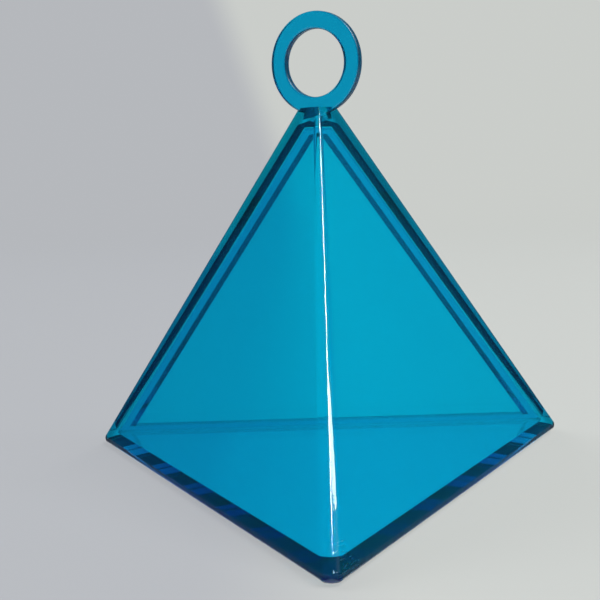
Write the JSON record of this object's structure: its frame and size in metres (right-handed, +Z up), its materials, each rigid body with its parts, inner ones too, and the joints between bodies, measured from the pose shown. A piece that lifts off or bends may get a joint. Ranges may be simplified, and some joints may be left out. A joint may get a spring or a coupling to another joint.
{
  "type": "balloon weight",
  "caption": "Hollow clear-blue pyramid weight with a triangular base and a flat ring at its tip, to which the ribbons of party balloons are tied.",
  "frame": {"origin": "centre of the triangular base, on the table surface, below the tip", "axes": "+Z up through the tip, -Y towards the base corner that faces the viewer, +X along the rear edge of the base to the viewer's right"},
  "size_m": [0.0904, 0.0787, 0.0808],
  "materials": {
    "clear_blue_shell": "polished, transparent",
    "clear_blue_panel": "polished, transparent",
    "clear_blue_ring": "polished, transparent"
  },
  "bodies": {
    "root": {"pyramid_shell": "clear_blue_shell", "rear_panel": "clear_blue_panel", "hanging_ring": "clear_blue_ring"}
  },
  "joints": []
}
